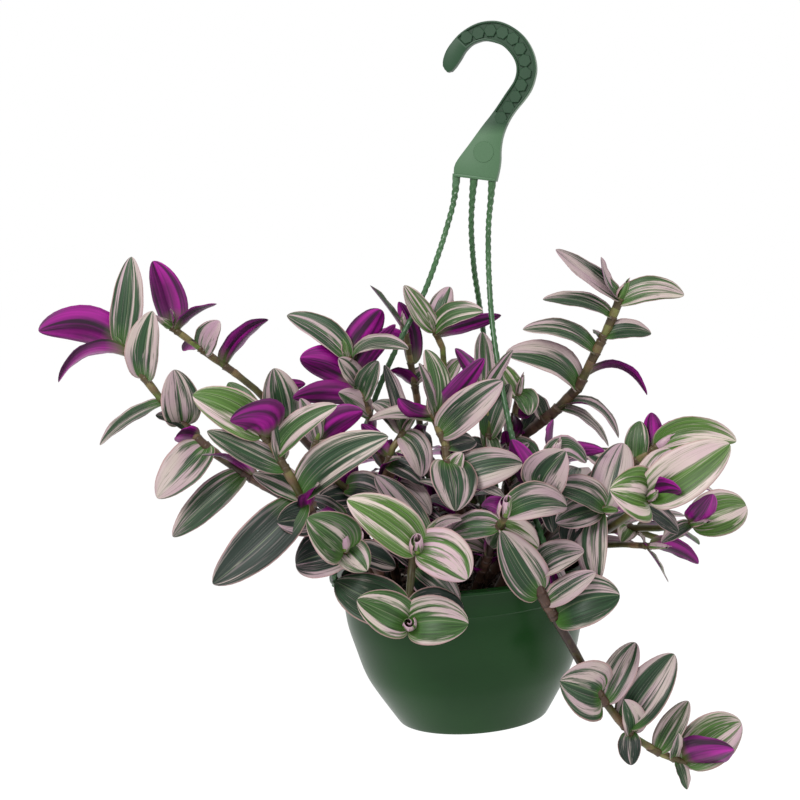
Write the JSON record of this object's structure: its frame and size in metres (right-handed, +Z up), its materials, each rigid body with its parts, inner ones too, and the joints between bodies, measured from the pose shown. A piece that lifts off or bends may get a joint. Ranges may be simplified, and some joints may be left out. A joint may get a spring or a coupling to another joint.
{
  "type": "potted tradescantia",
  "caption": "Trailing tradescantia with striped green, cream and pink leaves, purple beneath, in a green plastic hanging basket on a moulded hook hanger.",
  "frame": {"origin": "the highest point inside the hook, in the middle of its thickness, where the basket hangs on its support", "axes": "+Z up, against gravity as the basket hangs; +X to the right and +Y away, seen from the pictured front"},
  "size_m": [0.4767, 0.3625, 0.5146],
  "materials": {
    "pot": "satin moulded plastic",
    "hanger": "satin moulded plastic",
    "soil": "matte, crumbly potting mix",
    "foliage": "satin leaves striped green, cream and pink, purple underneath"
  },
  "bodies": {
    "root": {"hanger": "hanger", "pot": "pot", "shoot_back_1": "foliage", "shoot_back_2": "foliage", "shoot_back_3": "foliage", "shoot_back_4": "foliage", "shoot_back_5": "foliage", "shoot_back_6": "foliage", "shoot_back_7": "foliage", "shoot_back_8": "foliage", "shoot_behind_strand": "foliage", "shoot_centre": "foliage", "shoot_centre_left": "foliage", "shoot_centre_right": "foliage", "shoot_far_left": "foliage", "shoot_front_centre": "foliage", "shoot_front_low": "foliage", "shoot_left_front": "foliage", "shoot_left_inner": "foliage", "shoot_left_whorl": "foliage", "shoot_right_back": "foliage", "shoot_right_inner": "foliage", "shoot_right_lower": "foliage", "shoot_right_reaching": "foliage", "shoot_right_round": "foliage", "shoot_right_trailing": "foliage", "shoot_right_whorl": "foliage", "shoot_right_whorl_low": "foliage", "shoot_top_centre": "foliage", "shoot_upper_centre": "foliage", "shoot_upper_centre_left": "foliage", "shoot_upper_left": "foliage", "shoot_upper_right": "foliage", "soil": "soil"}
  },
  "joints": []
}
